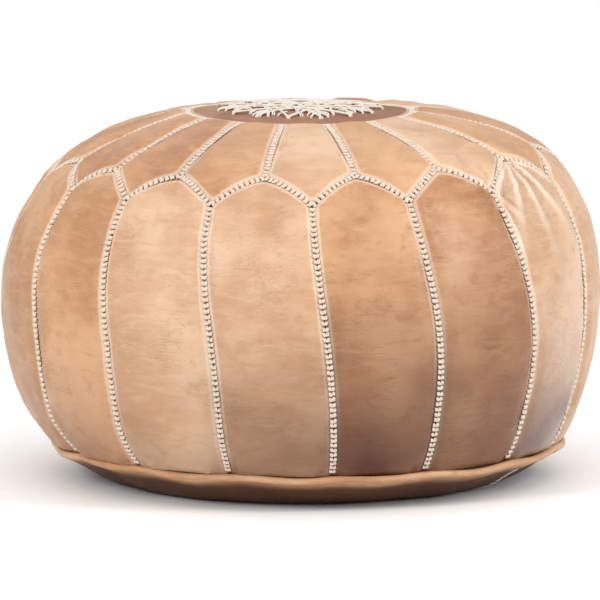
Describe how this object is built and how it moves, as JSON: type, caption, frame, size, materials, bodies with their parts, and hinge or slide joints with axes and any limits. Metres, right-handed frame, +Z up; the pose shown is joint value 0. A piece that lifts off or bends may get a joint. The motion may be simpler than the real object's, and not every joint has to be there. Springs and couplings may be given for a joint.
{
  "type": "leather pouf",
  "caption": "Round floor pouf of laced leather panels with pointed arches, an embroidered medallion on top, and a zipped base that closes over a bag of filling.",
  "frame": {"origin": "on the floor under the middle of the pouf", "axes": "+Z up; -Y is the front, +X to the right of someone facing the front"},
  "size_m": [0.5398, 0.5398, 0.3378],
  "materials": {
    "side_leather": "satin",
    "top_leather": "satin",
    "medallion_leather": "satin",
    "base_leather": "matte",
    "welt_leather": "satin",
    "braid_thread": "matte",
    "embroidery_thread": "satin",
    "bag_cotton": "matte",
    "filling_wadding": "matte",
    "zip_tape": "matte",
    "zip_teeth": "satin",
    "zip_metal": "satin"
  },
  "bodies": {
    "pouf": {"top_panel_01": "top_leather", "top_panel_02": "top_leather", "top_panel_03": "top_leather", "top_panel_04": "top_leather", "top_panel_05": "top_leather", "top_panel_06": "top_leather", "top_panel_07": "top_leather", "top_panel_08": "top_leather", "top_panel_09": "top_leather", "top_panel_10": "top_leather", "top_panel_11": "top_leather", "top_panel_12": "top_leather", "top_panel_13": "top_leather", "top_panel_14": "top_leather", "top_panel_15": "top_leather", "top_panel_16": "top_leather", "side_panel_01": "side_leather", "side_panel_02": "side_leather", "side_panel_03": "side_leather", "side_panel_04": "side_leather", "side_panel_05": "side_leather", "side_panel_06": "side_leather", "side_panel_07": "side_leather", "side_panel_08": "side_leather", "side_panel_09": "side_leather", "side_panel_10": "side_leather", "side_panel_11": "side_leather", "side_panel_12": "side_leather", "side_panel_13": "side_leather", "side_panel_14": "side_leather", "side_panel_15": "side_leather", "side_panel_16": "side_leather", "top_seam_braids": "braid_thread", "arch_seam_braid": "braid_thread", "side_seam_braids": "braid_thread", "medallion_border_braid": "braid_thread", "medallion_embroidery": "embroidery_thread", "medallion_disc": "medallion_leather", "base_panel_front": "base_leather", "base_panel_back": "base_leather", "base_seam_stitching": "embroidery_thread", "base_welt": "welt_leather", "filling_bag": "bag_cotton", "filling": "filling_wadding", "zip_tape_back": "zip_tape", "zip_tape_front": "zip_tape", "zip_teeth_back": "zip_teeth", "zip_teeth_front": "zip_teeth", "zip_stops": "zip_metal"},
    "slider": {"zip_slider": "zip_metal"},
    "pull": {"zip_pull_tab": "zip_metal"}
  },
  "joints": [
    {"name": "zip_slide", "type": "slide", "parent": "pouf", "child": "slider", "axis": [-0.848, 0.5299, 0], "range_m": [0, 0.24], "deforming": ["zip_teeth_back", "zip_teeth_front"]},
    {"name": "pull_swing", "type": "hinge", "parent": "slider", "child": "pull", "pos_m": [0.10855, -0.06783, 0.008], "axis": [-0.5299, -0.848, 0], "range_deg": [-13, 120]}
  ]
}
